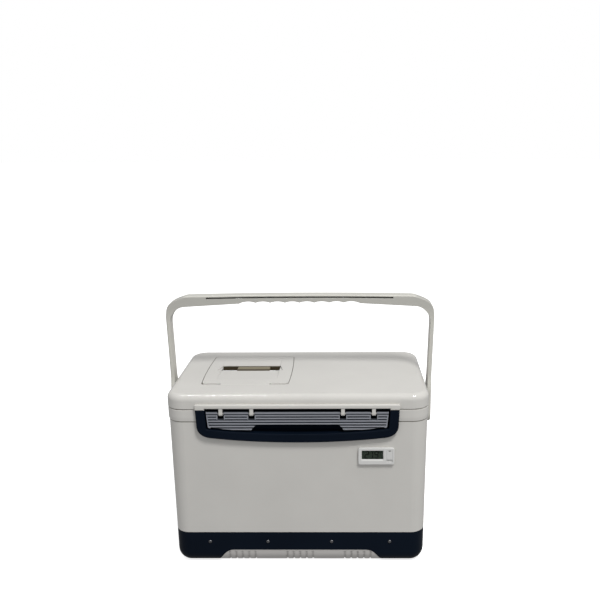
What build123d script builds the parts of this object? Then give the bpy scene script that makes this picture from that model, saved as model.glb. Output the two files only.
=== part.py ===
from build123d import *
from math import atan2, degrees, radians, sqrt, tan
import os

os.makedirs("parts", exist_ok=True)

# An insulated vaccine carrier: a foam-filled box on a navy base tray, a hinged lid with a
# small access hatch, a wide hinged latch in a navy surround, a swing handle and a panel
# thermometer. Millimetres, X to the right, Y to the rear, Z up. The origin is the centre of
# the underside, and the latch and thermometer are on the front, which looks along -Y.

# ---------------------------------------------------------------- closed box
lid_width = 380.0
lid_depth = 218.5
lid_corner = 25.4
total_height = 269.2
lid_height = 22.3
seam_gap = 0.8
seam_round = 1.0
draft = 0.7
shell_wall = 2.8
foam_thickness = 24.4
liner_wall = 2.4
liner_floor = 36.0
liner_corner = 16.0
liner_round = 12.0
foam_fit = 0.15
seat_gap = 0.25
seat_fit = 0.05
bore_fit = 0.02
pin_play = 0.06
cut_over = 1.0

# ---------------------------------------------------------------- rim collar
collar_height = 17.4
collar_bevel = 5.5
collar_proud = 1.0
collar_ledge = 0.5
collar_skin = 1.2
collar_flange = 2.6
lid_overhang = 0.2

# ---------------------------------------------------------------- base tray
skirt_top = 52.2
skirt_wall = 2.6
skirt_round = 19.0
skirt_fit = 0.3
skirt_edge = 0.6
rail_half_top = 98.0
rail_half_bottom = 122.5
rail_height = 23.3
rail_bend_drop = 6.4
rail_bend_out = 15.0
rail_foot_height = 4.0
rail_recess = 0.5
rail_reach = 32.0
rail_gap = 0.3
groove_width = 3.6
groove_shallow = 0.5
groove_slot = 1.6
groove_depth = 1.3
groove_pitch = 9.6
groove_count = 5
groove_group_pitch = 86.4
groove_top_gap = 3.0
base_screw_height = 37.0
base_screw_inner = 47.5
base_screw_outer = 134.0
screw_head_radius = 2.4
screw_head_height = 1.2
screw_head_round = 0.7
screw_slot = 0.8
screw_slot_reach = 1.5
screw_slot_depth = 0.6
screw_shank_radius = 1.4
screw_shank_length = 5.0
screw_hole_fit = 0.1

# ---------------------------------------------------------------- latch pocket and surround
pocket_half = 133.0
pocket_drop = 37.4
pocket_depth = 12.05
frame_proud = 6.0
frame_half_top = 145.6
frame_half_bottom = 144.6
frame_corner = 19.0
frame_side_drop = 41.1
frame_sag_drop = 48.0
frame_inner_half_top = 132.5
frame_inner_half_bottom = 130.6
frame_inner_corner = 2.4
frame_inner_side_drop = 27.9
frame_inner_sag_drop = 34.7
frame_edge = 1.6
frame_inner_edge = 1.4
tray_wall = 1.6
tray_lap = 1.0

# ---------------------------------------------------------------- latch lever
lever_drop = 1.8
lever_pin_drop = 3.2
lever_pin_radius = 1.5
lever_barrel = 3.1
lever_side_gap = 2.3
lever_taper = 2.0
lever_height = 29.0
lever_side_height = 23.8
lever_corner = 2.4
lever_plate = 3.0
lever_hem = 5.0
lever_hem_wall = 1.8
lever_recess = 1.2
rib_pitch = 4.1
rib_first = 1.5
rib_height = 1.4
rib_width = 2.6
rib_crest = 1.3
rib_count = 6
rim_line = 1.5
tab_inner = 65.2
tab_outer = 109.2
tab_width = 5.4
tab_radius = 3.3
notch_width = 9.2
notch_depth = 11.1
finger_half_top = 54.5
finger_half_bottom = 66.7
finger_bend_in = 4.4
finger_bend_drop = 3.2
finger_drop = 19.2

# ---------------------------------------------------------------- lid
lid_wall = 3.0
lid_round = 9.0
lip_half = 146.5
lip_rise = 3.1
lip_height = 6.3
foot_rise = 0.85
foot_width = 14.0
lip_round = 1.8
lip_corner = 2.2
recess_depth_past = 1.0
plug_depth = 11.0
plug_gap = 2.5
plug_round = 3.0
lid_liner_wall = 2.4
gasket_width = 7.0
gasket_height = 1.7
gasket_inset = 2.5
hinge_drop = 1.9
hinge_barrel = 4.5
hinge_pin_radius = 2.0
hinge_pin_chamfer = 0.3
hinge_offset = 5.3
hinge_spacing = 196.0
knuckle_length = 24.0
knuckle_rise = 11.25
ear_length = 10.0
knuckle_gap = 0.4

# ---------------------------------------------------------------- access hatch
hatch_side_margin = 45.1
hatch_width = 128.7
hatch_front_margin = 51.95
hatch_rear_margin = 34.85
hatch_bow = 2.1
hatch_corner = 5.0
hatch_gap = 0.8
hatch_plate = 3.4
hatch_ledge = 10.0
hatch_plug_depth = 20.0
hatch_plug_gap = 1.6
hatch_plug_round = 1.2
hatch_wall = 2.2
hatch_axis_lead = 4.2
hatch_axis_drop = 4.5
hatch_knuckle_half = 36.3
hatch_pin_radius = 1.5
hatch_pin_length = 14.0
hatch_slit = 5.7
hatch_slit_depth = 2.4
hatch_seat_depth = 5.1
hatch_well_drop = 0.9
hatch_gasket_height = 1.4
hatch_gasket_reach = 3.0
hatch_gasket_pinch = 1.1
hatch_barrel_gap = 0.7
grip_half = 45.8
grip_lead = 3.15
grip_length = 23.4
grip_depth = 11.0
grip_flare = 5.4
grip_flare_depth = 2.2
ramp_margin = 17.3
ramp_depth = 1.4
rear_ramp_margin = 6.4
rear_ramp_depth = 0.7
cup_wall = 1.2
cup_drop = 0.2
rocker_gap = 0.4
rocker_swing_gap = 1.4
rocker_shift = 3.95
rocker_half = 25.8
rocker_axis_back = 12.0
rocker_axis_drop = 6.2
rocker_drop = 1.6
rocker_thickness = 2.6
rocker_round = 1.0
axle_radius = 1.8
hub_wall = 1.3

# ---------------------------------------------------------------- swing handle
pivot_drop = 43.9
handle_rise = 124.0
handle_depth = 18.7
handle_arm = 6.0
handle_lean = 3.1
handle_shoulder_drop = 37.2
handle_shoulder_step = 6.0
handle_corner_in = 7.0
handle_corner_drop = 13.1
handle_curve_in = 26.0
handle_curve_drop = 3.9
handle_inner_in = 7.2
handle_inner_rise = 11.0
handle_crown = 1.3
handle_crown_in = 60.4
handle_edge = 1.2
bar_end_in = 29.4
bar_end_drop = 18.3
bar_middle_drop = 13.6
bar_grip_half = 95.0
eye_radius = 15.5
eye_waist_rise = 35.0
eye_neck_rise = 63.0
groove_radius = 31.0
grip_groove_drop = 10.2
grip_groove_pitch = 22.4
grip_grooves = 8
slot_end_in = 2.6
slot_height = 2.3
slot_drop = 3.8
slot_arch = 1.3
slot_depth = 6.0
pivot_pin_radius = 4.0
pivot_head_radius = 8.0
pivot_head_height = 2.3
pivot_head_gap = 0.3
pivot_seat_gap = 0.1
pivot_dome = 0.9
pivot_root = 4.0
boss_radius = 14.0
boss_stand = 6.95
boss_root = 6.0
washer_radius = 12.0
washer_thickness = 0.7
washer_play = 0.4

# ---------------------------------------------------------------- thermometer
meter_side_margin = 75.7
meter_drop = 70.7
meter_width = 52.4
meter_height = 25.9
meter_proud = 3.4
meter_corner = 3.2
meter_edge = 0.9
module_width = 45.0
module_height = 20.0
module_depth = 12.0
window_left = -20.9
window_width = 30.6
window_height = 13.0
window_rise = 1.9
window_depth = 1.2
window_bevel = 2.3
window_side_bevel = 0.7
lens_thickness = 0.8
lens_lap = 0.9
lens_play = 0.05
display_lap = 0.8
battery_x = 19.2
battery_rise = 1.9
battery_width = 8.4
battery_height = 13.8
battery_thickness = 1.2
battery_gap = 0.15
battery_sink = 0.15
battery_travel = 3.6
battery_cell_radius = 3.9
cell_play = 0.3
door_notch_half = 2.2
door_notch_height = 1.5
door_notch_depth = 0.7
door_leg_x = 1.8
door_leg_half = 0.6
door_leg_depth = 0.4
sensor_radius = 2.5
sensor_round = 2.0
sensor_sleeve_radius = 4.5
sensor_sleeve_reach = 1.5
sensor_stickout = 10.0

# ---------------------------------------------------------------- worked out once
rim_height = total_height - lid_height
collar_bottom = rim_height - collar_height
shell_width = lid_width - 2 * (lid_overhang + collar_proud)
shell_depth = lid_depth - 2 * (lid_overhang + collar_proud)
shell_corner = lid_corner - lid_overhang - collar_proud
collar_seat = rim_height - collar_flange
lid_edge = rim_height + seam_gap
lid_ceiling = total_height - lid_wall
liner_inset = shell_wall + foam_thickness
cavity_inset = liner_inset + liner_wall
far = 2 * lid_width

pocket_floor = rim_height - pocket_drop
pocket_back = shell_depth / 2 - pocket_depth
frame_side_sag = rim_height - frame_side_drop
frame_sag = rim_height - frame_sag_drop
frame_inner_side_sag = rim_height - frame_inner_side_drop
frame_inner_sag = rim_height - frame_inner_sag_drop
frame_face = shell_depth / 2 + frame_proud

lever_top = rim_height - lever_drop
lever_half = frame_inner_half_top - lever_side_gap
lever_half_bottom = lever_half - lever_taper
lever_side_bottom = lever_top - lever_side_height
lever_sag = lever_top - lever_height
notch_floor = lever_top - notch_depth
finger_top = lever_top - finger_drop
lever_pin_z = lever_top - lever_pin_drop
lever_face = frame_face - lever_recess
lever_base = lever_face - rib_height
lever_pin_y = -(lever_face - lever_pin_drop)

lip_bottom = rim_height + lip_rise
lip_top = lip_bottom + lip_height
lip_foot = rim_height + foot_rise
hinge_axis_y = lid_depth / 2 + hinge_offset
hinge_axis_height = rim_height - hinge_drop
hinge_centres = (-hinge_spacing / 2, hinge_spacing / 2)
tab_centres = (-tab_outer, -tab_inner, tab_inner, tab_outer)

hatch_left = hatch_side_margin - lid_width / 2
hatch_right = hatch_left + hatch_width
hatch_front = hatch_front_margin - lid_depth / 2
hatch_rear = lid_depth / 2 - hatch_rear_margin
hatch_x = (hatch_left + hatch_right) / 2
hatch_middle = (hatch_front + hatch_rear) / 2
hatch_axis_y = hatch_front - hatch_axis_lead
hatch_axis_z = total_height - hatch_axis_drop
hatch_seat = total_height - hatch_seat_depth
hatch_well_bottom = rim_height - hatch_well_drop
grip_front = hatch_middle - grip_lead
grip_rear = grip_front + grip_length
ramp_front = hatch_front + ramp_margin
rear_ramp_end = hatch_rear - rear_ramp_margin
rocker_x = hatch_x + rocker_shift
rocker_axis_y = grip_front + rocker_axis_back
rocker_axis_z = total_height - rocker_axis_drop

pivot_height = rim_height - pivot_drop
pivot_wall = shell_width / 2 - pivot_drop * tan(radians(draft))
boss_face = pivot_wall + boss_stand
handle_half_low = boss_face + washer_thickness + washer_play + handle_arm
handle_half_high = handle_half_low + handle_lean
handle_top = total_height + handle_rise
handle_shoulder = handle_top - handle_shoulder_drop
crown_half = handle_half_high - handle_crown_in
bar_end_half = handle_half_high - bar_end_in
bar_end_bottom = handle_top - bar_end_drop
bar_mid_bottom = handle_top - bar_middle_drop
grip_groove_top = handle_top - grip_groove_drop
eye_waist = pivot_height + eye_waist_rise
eye_neck = pivot_height + eye_neck_rise

meter_x = shell_width / 2 - meter_side_margin
meter_z = rim_height - meter_drop
window_x = meter_x + window_left
window_low = meter_z + window_rise - window_height / 2
window_high = window_low + window_height
battery_z = meter_z + battery_rise


# ---------------------------------------------------------------- helpers
def block(x0, x1, y0, y1, z0, z1):
    """A box between two corners."""
    middle = Pos((x0 + x1) / 2, (y0 + y1) / 2, (z0 + z1) / 2)
    return middle * Box(x1 - x0, y1 - y0, z1 - z0)


def rod_x(radius, x0, x1, y, z):
    """A cylinder along X."""
    return Pos((x0 + x1) / 2, y, z) * Rot(0, 90, 0) * Cylinder(radius, abs(x1 - x0))


def rod_y(radius, y0, y1, x, z):
    """A cylinder along Y."""
    return Pos(x, (y0 + y1) / 2, z) * Rot(90, 0, 0) * Cylinder(radius, abs(y1 - y0))


def shell_inset_at(z):
    """How far the drafted side has come in at a height."""
    return (rim_height - z) * tan(radians(draft))


def shell_half_depth(z):
    """Half the depth of the box outside at a height."""
    return shell_depth / 2 - shell_inset_at(z)


def shell_half_width(z):
    """Half the width of the box outside at a height."""
    return shell_width / 2 - shell_inset_at(z)


def tub(inset, z0, z1, corner=None):
    """The drafted body outline, taken in by an inset, between two heights."""
    total = inset + shell_inset_at(z0)
    radius = shell_corner - total if corner is None else corner
    outline = RectangleRounded(shell_width - 2 * total, shell_depth - 2 * total, radius)
    return extrude(Pos(0, 0, z0) * outline, z1 - z0, taper=-draft)


def round_bottom(part, radius):
    """The same solid with the edges of its lowest face rounded."""
    return fillet(part.faces().sort_by(Axis.Z)[0].edges(), radius)


def slab(width, depth, radius, z0, z1, x=0.0, y=0.0):
    """An upright rounded rectangle."""
    return extrude(Pos(x, y, z0) * RectangleRounded(width, depth, radius), z1 - z0)


def cross_screw(x, y, z, outward):
    """A pan-head screw with a cross recess, its head seated on a face that looks along Y."""
    seat = y + outward * seat_fit
    top = seat + outward * screw_head_height
    head = rod_y(screw_head_radius, seat, top, x, z)
    rim = head.edges().filter_by(GeomType.CIRCLE).sort_by(Axis.Y)
    head = chamfer(rim[0] if outward < 0 else rim[-1], screw_head_round)
    low, high = sorted((top - outward * screw_slot_depth, top + outward))
    half = screw_slot / 2
    head -= block(x - screw_slot_reach, x + screw_slot_reach, low, high, z - half, z + half)
    head -= block(x - half, x + half, low, high, z - screw_slot_reach, z + screw_slot_reach)
    return head + rod_y(screw_shank_radius, seat, y - outward * screw_shank_length, x, z)


def nearest_edges(part, wanted):
    """The edges of a solid that lie where some edges of an earlier form of it were."""
    return [min(part.edges(), key=lambda edge: (edge.center() - old.center()).length) for old in wanted]


def write(name, part):
    """Write one sub-part to its own STEP file."""
    part.label = name
    export_step(part, f"parts/{name}.step")


# ---------------------------------------------------------------- body envelope
def make_shell_envelope(margin=0.0):
    """The outside of the white shell: stepped in under the tray and behind the collar."""
    tray_inset = skirt_wall + skirt_fit - margin
    low_z = skirt_wall + skirt_fit - margin
    low = round_bottom(tub(tray_inset, low_z, skirt_top + skirt_fit), skirt_round - tray_inset)
    middle = tub(-margin, skirt_top + skirt_fit, collar_bottom - seat_gap)
    high = tub(collar_skin + seat_fit - margin, collar_bottom - seat_gap, collar_seat + margin)
    return low + middle + high


def make_shell_interior(margin=0.0):
    """The space inside the shell walls."""
    tray_inset = skirt_wall + skirt_fit + shell_wall + margin
    floor = skirt_wall + skirt_fit + shell_wall + margin
    step = skirt_top + skirt_fit + shell_wall + margin
    low = round_bottom(tub(tray_inset, floor, step), skirt_round - tray_inset)
    high = tub(shell_wall + margin, step, rim_height + cut_over)
    return low + high


def make_pocket(margin=0.0):
    """The recess in the front wall that the latch and the fingers go into, open above."""
    return block(-pocket_half - margin, pocket_half + margin, -far, -pocket_back + margin,
                 pocket_floor - margin, rim_height + far)


def make_module_space(margin=0.0):
    """The hole in the front wall for the back of the thermometer."""
    front = -shell_half_depth(meter_z)
    half_w = module_width / 2 + margin
    half_h = module_height / 2 + margin
    return block(meter_x - half_w, meter_x + half_w, -far, front + module_depth + margin,
                 meter_z - half_h, meter_z + half_h)


def make_liner_envelope(margin=0.0):
    """The outside of the inner liner."""
    floor = liner_floor - liner_wall - margin
    body = tub(liner_inset - margin, floor, collar_seat + (far if margin else 0), liner_corner + liner_wall)
    return round_bottom(body, liner_round + liner_wall)


def make_cavity():
    """The space that the box keeps cold."""
    body = tub(cavity_inset, liner_floor, total_height, liner_corner)
    return round_bottom(body, liner_round)


# ---------------------------------------------------------------- base tray
def make_rail_prism(margin, side):
    """The arch that a foot rail fills, carried back under the tray on one side, -1 or +1."""
    crown = rail_height - margin
    foot = (rail_half_bottom - margin, 0, rail_foot_height)
    bend = (rail_half_top + rail_bend_out - margin, 0, crown - rail_bend_drop)
    top = (rail_half_top - margin, 0, crown)
    low = (rail_half_bottom - margin, 0, -cut_over)
    half = Wire([Line(low, foot), Spline([foot, bend, top], tangents=[(-1, 0, 1.2), (-1, 0, 0)])])
    outline = make_face(Wire([*half.edges(), *mirror(half, about=Plane.YZ).edges(),
                              Line(top, (-top[0], 0, top[2])), Line((-low[0], 0, low[2]), low)]))
    start = side * (lid_depth / 2 + cut_over)
    reach = shell_depth / 2 - shell_inset_at(0) - rail_reach + margin
    return extrude(Pos(0, start, 0) * outline, abs(start) - reach, dir=(0, -side, 0))


def make_skirt_solid(inset):
    """The tray without its rails, its outside taken in by an inset."""
    outer = round_bottom(tub(inset, 0, skirt_top), skirt_round - inset)
    outer = fillet(outer.faces().sort_by(Axis.Z)[-1].edges(), skirt_edge)
    inner = round_bottom(tub(skirt_wall, skirt_wall, skirt_top + cut_over), skirt_round - skirt_wall)
    return outer - inner


def screw_places():
    """Where the tray's screws are: x, the face's y there, and the way out."""
    depth = shell_half_depth(base_screw_height)
    rows = [base_screw_inner, base_screw_outer]
    return [(sign * x, side * depth, side) for side in (-1, 1) for x in rows for sign in (-1, 1)]


def make_base_skirt():
    tray = make_skirt_solid(0)
    for side in (-1, 1):
        tray -= make_rail_prism(0, side)
    for x, y, side in screw_places():
        tray -= rod_y(screw_shank_radius + screw_hole_fit, y - screw_shank_length, y + screw_shank_length, x,
                      base_screw_height)
    return tray


def groove_places():
    """The x of each groove: three groups of five."""
    middle = (groove_count - 1) / 2
    return [group * groove_group_pitch + (index - middle) * groove_pitch
            for group in (-1, 0, 1) for index in range(groove_count)]


def make_foot_rail(side):
    """A pale insert in the tray's arch, with groups of small grooves."""
    rail = make_skirt_solid(rail_recess) & make_rail_prism(rail_gap, side)
    for width, depth in ((groove_width, groove_shallow), (groove_slot, groove_depth)):
        core = round_bottom(tub(rail_recess + depth, depth, skirt_top), skirt_round - rail_recess - depth)
        for x in groove_places():
            strip = block(x - width / 2, x + width / 2, -far, far, -cut_over, rail_height - groove_top_gap)
            rail -= strip - core
    return rail


def make_base_screws():
    return Compound([cross_screw(x, y, base_screw_height, side) for x, y, side in screw_places()])


# ---------------------------------------------------------------- white shell, foam and liner
def make_handle_bosses(margin=0.0):
    """Round bosses in the side walls that carry the handle pins."""
    depth = pivot_wall - shell_wall - boss_root - margin
    return [rod_x(boss_radius + margin, sign * depth, sign * boss_face, 0, pivot_height)
            for sign in (-1, 1)]


def make_outer_shell():
    envelope = make_shell_envelope()
    shell = envelope - make_shell_interior()
    shell += envelope & make_pocket(shell_wall)
    shell -= make_pocket()
    for boss in make_handle_bosses():
        shell += boss
    for sign in (-1, 1):
        inner = sign * (pivot_wall - shell_wall - pivot_root)
        shell -= rod_x(pivot_pin_radius + bore_fit, inner, sign * far, 0, pivot_height)
    for x, y, side in screw_places():
        shell -= rod_y(screw_shank_radius + bore_fit, y, y - side * screw_shank_length, x, base_screw_height)
    return shell - make_module_space()


def make_inner_liner():
    liner = make_liner_envelope() - make_cavity()
    return liner - rod_y(sensor_sleeve_radius + seat_fit, -far, 0, meter_x, meter_z)


def make_foam_core():
    foam = make_shell_interior(foam_fit) - make_liner_envelope(foam_fit)
    foam &= block(-far, far, -far, far, 0, collar_seat - foam_fit)
    foam -= make_pocket(shell_wall + foam_fit)
    for boss in make_handle_bosses(foam_fit):
        foam -= boss
    foam -= make_module_space(foam_fit)
    return foam - rod_y(sensor_sleeve_radius + seat_fit, -far, 0, meter_x, meter_z)


# ---------------------------------------------------------------- rim collar
def ear_spans():
    """The x spans of the collar's hinge ears, two to each lid knuckle."""
    inner = knuckle_length / 2 + knuckle_gap
    outer = inner + ear_length
    return [(centre + sign * inner, centre + sign * outer)
            for centre in hinge_centres for sign in (-1, 1)]


def make_rim_collar():
    width = lid_width - 2 * lid_overhang
    depth = lid_depth - 2 * lid_overhang
    radius = lid_corner - lid_overhang
    step = collar_proud - collar_ledge
    low = RectangleRounded(width - 2 * step, depth - 2 * step, radius - step)
    ring = extrude(Pos(0, 0, collar_bottom) * low, collar_bevel, taper=-degrees(atan2(step, collar_bevel)))
    band = slab(width, depth, radius, collar_bottom + collar_bevel, rim_height)
    ring += fillet(band.faces().sort_by(Axis.Z)[-1].edges(), seam_round)
    for x0, x1 in ear_spans():
        low_x, high_x = sorted((x0, x1))
        ear = rod_x(hinge_barrel, low_x, high_x, hinge_axis_y, hinge_axis_height)
        ear += block(low_x, high_x, depth / 2 - collar_skin, hinge_axis_y, hinge_axis_height - hinge_barrel,
                     hinge_axis_height)
        ring += ear
    ring -= tub(collar_skin, collar_bottom - cut_over, collar_seat)
    ring -= make_cavity()
    ring -= make_pocket()
    for centre in hinge_centres:
        reach = knuckle_length / 2 + knuckle_gap + ear_length
        ring -= rod_x(hinge_pin_radius + bore_fit, centre - reach, centre + reach, hinge_axis_y,
                      hinge_axis_height)
    return ring


def make_hinge_pin(centre):
    reach = knuckle_length / 2 + knuckle_gap + ear_length
    pin = rod_x(hinge_pin_radius, centre - reach, centre + reach, hinge_axis_y, hinge_axis_height)
    return chamfer(pin.edges().filter_by(GeomType.CIRCLE), hinge_pin_chamfer)


# ---------------------------------------------------------------- latch surround
def frame_outlines():
    """The surround's outer and inner outlines as faces in the XZ plane."""
    top = lip_foot - seat_gap
    corner_x = frame_half_bottom - frame_corner
    corner_z = frame_side_sag + frame_corner
    third = (1 - sqrt(0.5)) * frame_corner
    outer_half = Wire([
        Line((frame_half_top, 0, top), (frame_half_bottom, 0, corner_z)),
        Spline([(frame_half_bottom, 0, corner_z), (frame_half_bottom - third, 0, frame_side_sag + third),
                (corner_x, 0, frame_side_sag)], tangents=[(0, 0, -1), (-1, 0, -0.12)]),
        Spline([(corner_x, 0, frame_side_sag), (0, 0, frame_sag)], tangents=[(-1, 0, -0.12), (-1, 0, 0)]),
    ])
    side = frame_inner_half_bottom
    low = frame_inner_side_sag
    turn = frame_inner_corner
    inner_half = Wire([
        Line((frame_inner_half_top, 0, far), (frame_inner_half_top, 0, top)),
        Line((frame_inner_half_top, 0, top), (side, 0, low + turn)),
        Spline([(side, 0, low + turn), (side - turn, 0, low)], tangents=[(0, 0, -1), (-1, 0, -0.12)]),
        Spline([(side - turn, 0, low), (0, 0, frame_inner_sag)], tangents=[(-1, 0, -0.12), (-1, 0, 0)]),
    ])
    outer = make_face(Wire([*outer_half.edges(), *mirror(outer_half, about=Plane.YZ).edges(),
                            Line((-frame_half_top, 0, top), (frame_half_top, 0, top))]))
    inner = make_face(Wire([*inner_half.edges(), *mirror(inner_half, about=Plane.YZ).edges(),
                            Line((-frame_inner_half_top, 0, far), (frame_inner_half_top, 0, far))]))
    return outer, inner


def make_latch_frame():
    """The navy surround, with the dark tray behind it that lines the pocket."""
    outer, inner = frame_outlines()
    plate = extrude(Pos(0, -frame_face, 0) * outer, frame_face - pocket_back, dir=(0, 1, 0))
    plate -= extrude(Pos(0, -frame_face - cut_over, 0) * inner, frame_face, dir=(0, 1, 0))
    front = [edge for edge in plate.faces().sort_by(Axis.Y)[0].edges() if edge.center().Z < rim_height]
    outside = [edge for edge in front if edge.center().Z < frame_inner_sag or
               abs(edge.center().X) > frame_inner_half_top + cut_over]
    inside = [edge for edge in front if edge not in outside and edge.center().Z < frame_inner_side_sag]
    plate = fillet(outside, frame_edge)
    plate = fillet(nearest_edges(plate, inside), frame_inner_edge)
    plate -= make_shell_envelope(seat_fit) - make_pocket(-seat_fit)
    width = lid_width - 2 * lid_overhang + seat_gap
    depth = lid_depth - 2 * lid_overhang + seat_gap
    collar = slab(width, depth, lid_corner, collar_bottom - seat_fit, rim_height + cut_over)
    plate -= collar - make_pocket(-seat_fit)
    plate -= slab(lid_width + 2 * seat_gap, lid_depth + 2 * seat_gap, lid_corner, rim_height, far)
    half = pocket_half - foam_fit
    back = -pocket_back - foam_fit
    floor = pocket_floor + foam_fit
    front_y = tray_lap - shell_half_depth(pocket_floor)
    tray = block(-half, half, front_y, back, floor, rim_height)
    tray -= block(tray_wall - half, half - tray_wall, -far, back - tray_wall, floor + tray_wall, far)
    return plate + tray


# ---------------------------------------------------------------- latch lever
def lever_segments():
    """The x spans of the lever's top edge between its notches."""
    edges = [-lever_half]
    for tab in tab_centres:
        edges += [tab - notch_width / 2, tab + notch_width / 2]
    edges.append(lever_half)
    return list(zip(edges[0::2], edges[1::2]))


def make_lever_outline(inset=0.0):
    """The lever seen from the front: sagging lower edge, with an opening for the fingers."""
    side = lever_half - inset
    low_side = lever_half_bottom - inset
    hem = lever_side_bottom + inset
    third = (1 - sqrt(0.5)) * lever_corner
    foot = (finger_half_bottom + inset, 0, lever_sag + inset)
    bend = (finger_half_bottom + inset - finger_bend_in, 0, finger_top + inset - finger_bend_drop)
    crown = (finger_half_top + inset, 0, finger_top + inset)
    half = Wire([
        Line((side, 0, lever_top), (low_side, 0, hem + lever_corner)),
        ThreePointArc((low_side, 0, hem + lever_corner), (low_side - third, 0, hem + third),
                      (low_side - lever_corner, 0, hem)),
        Line((low_side - lever_corner, 0, hem), foot),
        Spline([foot, bend, crown], tangents=[(-0.5, 0, 1), (-1, 0, 0)]),
    ])
    return make_face(Wire([*half.edges(), *mirror(half, about=Plane.YZ).edges(),
                           Line((-crown[0], 0, crown[2]), crown),
                           Line((-side, 0, lever_top), (side, 0, lever_top))]))


def lever_rib(z, x0, x1):
    """One raised rib on the lever's face, with sloping flanks and a flat crest."""
    foot, crest = rib_width / 2, rib_crest / 2
    root = lever_plate / 2 - lever_base
    section = Polyline((x0, root, z - foot), (x0, -lever_base, z - foot), (x0, -lever_face, z - crest),
                       (x0, -lever_face, z + crest), (x0, -lever_base, z + foot), (x0, root, z + foot),
                       close=True)
    return extrude(make_face(section), x1 - x0, dir=(1, 0, 0))


def make_lever_edge(prism):
    """The raised line down each side of the lever, round its corner and along its hem."""
    line = extrude(Pos(0, -lever_face, 0) * make_lever_outline(), rib_height + lever_plate / 2, dir=(0, 1, 0))
    line -= extrude(Pos(0, -far, 0) * make_lever_outline(rim_line), 2 * far, dir=(0, 1, 0))
    middle = lever_half_bottom - lever_corner - rim_line
    return (line - block(-middle, middle, -far, far, 0, far)) & prism


def make_latch_lever():
    outline = make_lever_outline()
    below_pin = block(-far, far, -far, far, 0, lever_pin_z)
    prism = extrude(Pos(0, -lever_face - cut_over, 0) * outline, far, dir=(0, 1, 0))
    hem = extrude(Pos(0, -lever_base, 0) * outline, lever_hem, dir=(0, 1, 0))
    hollow = make_lever_outline(lever_hem_wall)
    hem -= extrude(Pos(0, lever_plate - lever_base, 0) * hollow, far, dir=(0, 1, 0))
    barrel = rod_x(lever_barrel, -lever_half, lever_half, lever_pin_y, lever_pin_z)
    lever = (hem & below_pin) + (barrel & prism) + make_lever_edge(prism)
    segments = lever_segments()
    for index in range(rib_count + 1):
        z = lever_top - rib_first - index * rib_pitch
        if z < notch_floor:
            lever += lever_rib(z, -lever_half, lever_half) & prism
            continue
        for x0, x1 in segments:
            lever += lever_rib(z, x0, x1) & prism
    for x0, x1 in segments:
        for edge_x in (x0, x1 - rim_line):
            lever += block(edge_x, edge_x + rim_line, -lever_face, lever_plate / 2 - lever_base, notch_floor,
                           lever_pin_z) & prism
    for tab in tab_centres:
        lever -= block(tab - notch_width / 2, tab + notch_width / 2, -far, 0, notch_floor, far)
    return lever - rod_x(lever_pin_radius + pin_play, -far, far, lever_pin_y, lever_pin_z)


def make_lever_pin():
    length = lever_half - rim_line
    return rod_x(lever_pin_radius, -length, length, lever_pin_y, lever_pin_z)


# ---------------------------------------------------------------- lid
def hatch_outline(margin):
    """The hatch's plan with its two bowed sides, grown by a margin."""
    left, right = hatch_left - margin, hatch_right + margin
    front, rear = hatch_front - margin, hatch_rear + margin
    middle = (front + rear) / 2
    face = make_face(Wire([
        Line((left, front), (right, front)),
        ThreePointArc((right, front), (right + hatch_bow, middle), (right, rear)),
        Line((right, rear), (left, rear)),
        ThreePointArc((left, rear), (left - hatch_bow, middle), (left, front)),
    ]))
    return fillet(face.vertices(), hatch_corner + margin)


def hatch_well(margin, z0, z1):
    """The opening that the hatch's plug drops into, grown by a margin."""
    width = hatch_right - hatch_left - 2 * hatch_ledge + 2 * margin
    depth = hatch_rear - hatch_front - 2 * hatch_ledge + 2 * margin
    return slab(width, depth, hatch_corner, z0, z1, hatch_x, hatch_middle)


def make_lid_outside(inset):
    """The lid's outer form with its rounded top edge, taken in by an inset."""
    solid = slab(lid_width - 2 * inset, lid_depth - 2 * inset, lid_corner - inset, lid_edge,
                 total_height - inset)
    solid = fillet(solid.faces().sort_by(Axis.Z)[-1].edges(), lid_round - inset)
    return fillet(solid.faces().sort_by(Axis.Z)[0].edges(), seam_round)


def latch_recess(margin):
    """The step in the lid's front lower edge that clears the latch."""
    half = frame_inner_half_top + margin
    return block(-half, half, -far, margin - pocket_back - recess_depth_past, 0, lip_bottom + margin)


def make_lid_lip():
    """The bead along the lid's front, with a foot at each end."""
    inner = lip_half - foot_width
    outline = make_face(Polyline(
        (lip_half, 0, lip_foot), (lip_half, 0, lip_top), (-lip_half, 0, lip_top), (-lip_half, 0, lip_foot),
        (-inner, 0, lip_foot), (-inner, 0, lip_bottom), (inner, 0, lip_bottom), (inner, 0, lip_foot),
        close=True))
    ends = outline.vertices().filter_by(lambda corner: abs(corner.X) > inner + cut_over)
    outline = fillet(ends, lip_corner)
    bead = extrude(Pos(0, -frame_face, 0) * outline, frame_face - lid_depth / 2 + lid_wall, dir=(0, 1, 0))
    return fillet(bead.faces().sort_by(Axis.Y)[0].edges(), lip_round)


def make_lid_tab(centre):
    """One of the tabs under the lip that the lever's pin goes through."""
    x0, x1 = centre - tab_width / 2, centre + tab_width / 2
    tab = block(x0, x1, lever_pin_y - tab_radius, lever_pin_y + tab_radius, lever_pin_z,
                lip_bottom + lip_round)
    return tab + rod_x(tab_radius, x0, x1, lever_pin_y, lever_pin_z)


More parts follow.
